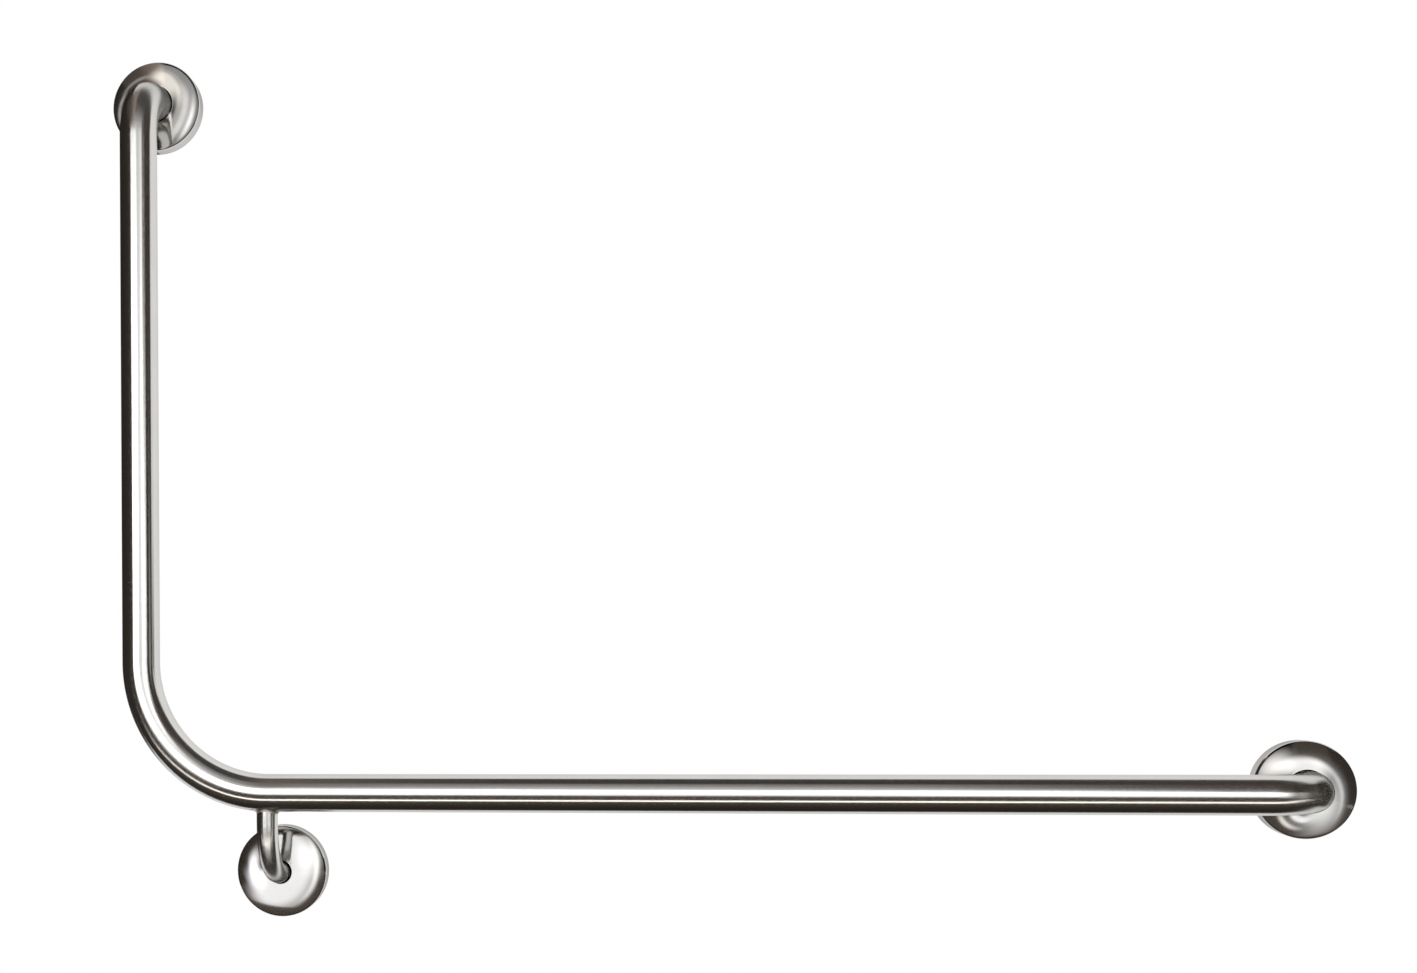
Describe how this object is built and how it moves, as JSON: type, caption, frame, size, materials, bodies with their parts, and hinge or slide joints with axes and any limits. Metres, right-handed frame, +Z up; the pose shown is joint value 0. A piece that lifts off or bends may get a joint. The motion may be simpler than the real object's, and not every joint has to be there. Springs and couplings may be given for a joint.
{
  "type": "grab rail",
  "caption": "L-shaped tubular grab rail for a toilet wall, held on round wall flanges under domed covers, with a support leg under its corner.",
  "frame": {"origin": "centre of the end flange on the wall face, at the height of the horizontal leg's axis", "axes": "+X along the horizontal leg from the corner towards the end flange, +Y into the wall, +Z up along the vertical leg"},
  "size_m": [1.04, 0.082, 0.763],
  "materials": {
    "brushed_tube": "satin brushed along the tube, 304 stainless steel",
    "satin_cover": "fine satin, pressed stainless steel sheet",
    "plain_plate": "plain mill finish stainless steel plate",
    "weld_bead": "welded and dressed stainless steel"
  },
  "bodies": {
    "rail": {"rail_tube": "brushed_tube", "support_leg": "brushed_tube", "support_leg_weld": "weld_bead", "top_flange_plate": "plain_plate", "top_flange_weld": "weld_bead", "end_flange_plate": "plain_plate", "end_flange_weld": "weld_bead", "support_flange_plate": "plain_plate", "support_flange_weld": "weld_bead"},
    "top_cover": {"top_cover": "satin_cover"},
    "end_cover": {"end_cover": "satin_cover"},
    "support_cover": {"support_cover": "satin_cover"}
  },
  "joints": [
    {"name": "top_cover_slide", "type": "slide", "parent": "rail", "child": "top_cover", "axis": [0, -1, 0], "range_m": [0, 0.0075]},
    {"name": "end_cover_slide", "type": "slide", "parent": "rail", "child": "end_cover", "axis": [0, -1, 0], "range_m": [0, 0.0075]},
    {"name": "support_cover_slide", "type": "slide", "parent": "rail", "child": "support_cover", "axis": [0, -1, 0], "range_m": [0, 0.01]}
  ]
}
